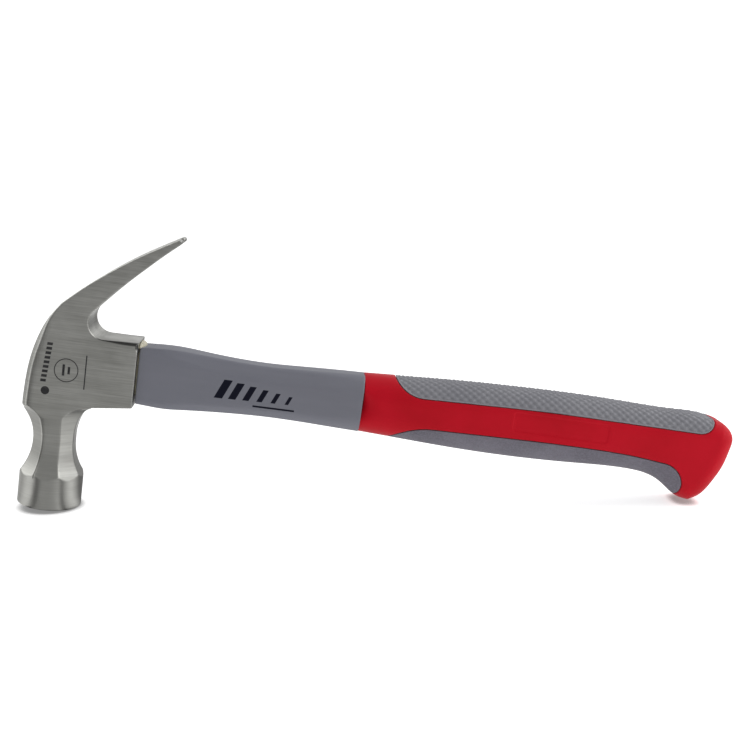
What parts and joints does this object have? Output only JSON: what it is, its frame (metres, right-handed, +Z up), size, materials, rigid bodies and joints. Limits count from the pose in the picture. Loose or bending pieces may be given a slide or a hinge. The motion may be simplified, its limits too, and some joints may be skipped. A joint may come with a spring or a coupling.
{
  "type": "claw hammer",
  "caption": "Claw hammer with a forged head, octagonal neck and curved nail-pulling claw on a fibreglass-cored handle with a cushioned soft grip, for driving and pulling nails.",
  "frame": {"origin": "centre of the striking face", "axes": "+X along the handle towards the butt, leaned 7.5 degrees so that the face's heel and the butt both touch a level floor; +Z up; +Y to the far cheek"},
  "size_m": [0.3369, 0.0288, 0.124],
  "materials": {
    "forged_steel": "ground and brushed forged steel under clear lacquer",
    "cast_resin": "cast epoxy, satin cream",
    "fibreglass": "pultruded fibreglass rod",
    "jacket_plastic": "moulded polypropylene, fine satin grain",
    "red_soft_grip": "soft thermoplastic rubber, satin",
    "textured_pad": "soft thermoplastic rubber with a raised diamond texture",
    "smooth_pad": "soft thermoplastic rubber with a fine matte grain"
  },
  "bodies": {
    "root": {"hammer_head": "forged_steel", "eye_resin": "cast_resin", "fibreglass_core": "fibreglass", "handle_jacket": "jacket_plastic", "grip_sleeve": "red_soft_grip", "upper_grip_pad": "textured_pad", "lower_grip_pad": "smooth_pad"}
  },
  "joints": []
}
